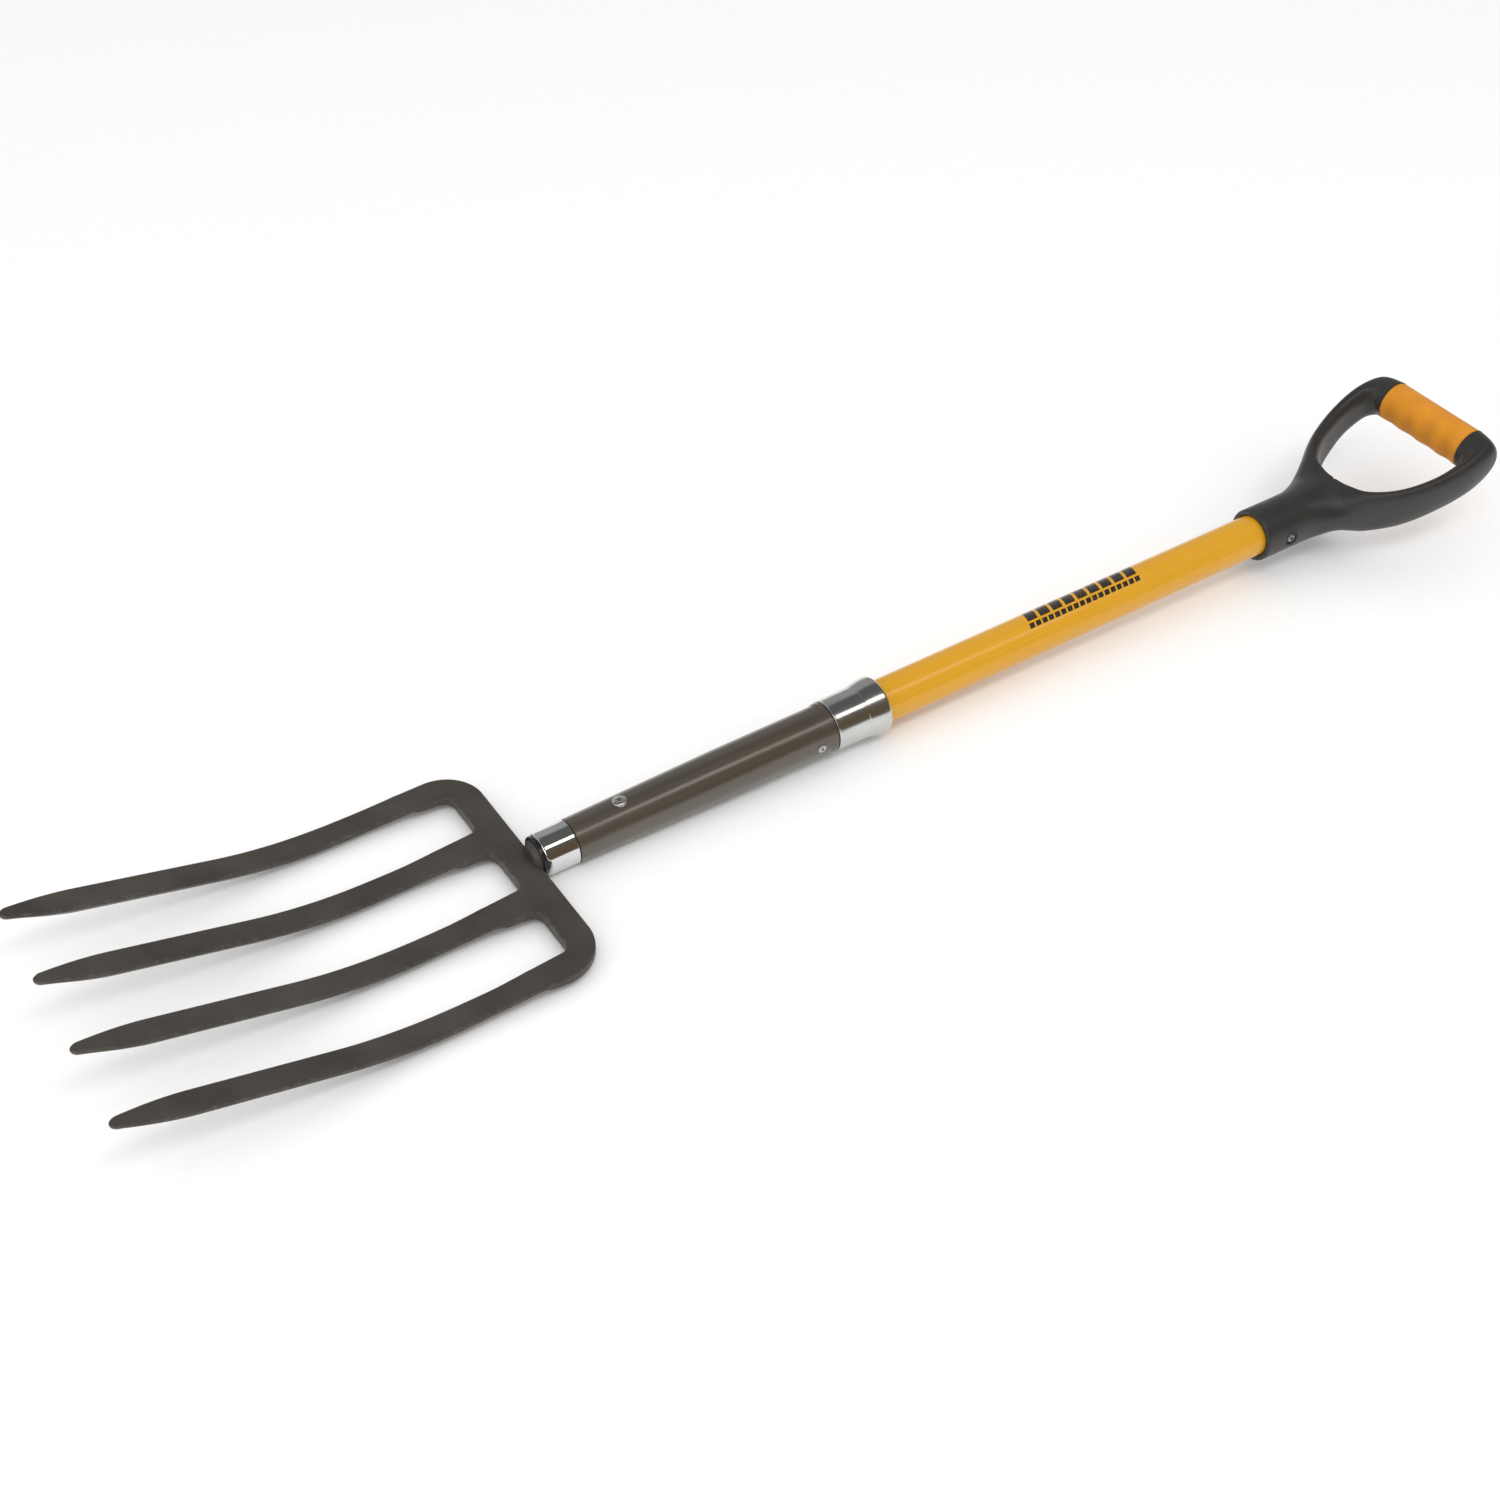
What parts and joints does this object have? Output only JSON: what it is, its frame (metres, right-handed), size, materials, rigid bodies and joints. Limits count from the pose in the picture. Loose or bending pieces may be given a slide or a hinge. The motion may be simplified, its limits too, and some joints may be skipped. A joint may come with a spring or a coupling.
{
  "type": "digging fork",
  "caption": "Digging fork with a forged tined head, riveted steel socket tube, yellow fibreglass shaft and black D-handle with a soft orange grip.",
  "frame": {"origin": "centre of the crossbar's flat front face", "axes": "+X along the shaft from the head towards the D-handle, +Z out of the front face, the side that the tines curve towards, and +Y across the head"},
  "size_m": [1.0671, 0.1898, 0.0657],
  "materials": {
    "head_steel": "dark satin coating over forged steel",
    "tube_steel": "semi-gloss metallic brown coating",
    "ferrule_chrome": "bright chrome",
    "collar_zinc": "polished zinc plate",
    "rivet_alloy": "satin alloy",
    "pin_steel": "broken steel pin",
    "shaft_yellow": "gloss golden-yellow fibreglass",
    "grip_orange": "matte soft-touch orange",
    "handle_black": "satin black moulded plastic",
    "core_grey": "dull filler core"
  },
  "bodies": {
    "root": {"fork_head": "head_steel", "neck_boss": "handle_black", "ferrule": "ferrule_chrome", "socket_tube": "tube_steel", "collar": "collar_zinc", "shaft_tube": "shaft_yellow", "lower_core": "core_grey", "upper_core": "core_grey", "d_handle": "handle_black", "grip_sleeve": "grip_orange", "tang_rivet": "rivet_alloy", "tang_rivet_pin": "pin_steel", "shaft_rivet": "rivet_alloy", "shaft_rivet_pin": "pin_steel", "handle_rivet_left": "rivet_alloy", "handle_rivet_left_pin": "pin_steel", "handle_rivet_right": "rivet_alloy", "handle_rivet_right_pin": "pin_steel"}
  },
  "joints": []
}
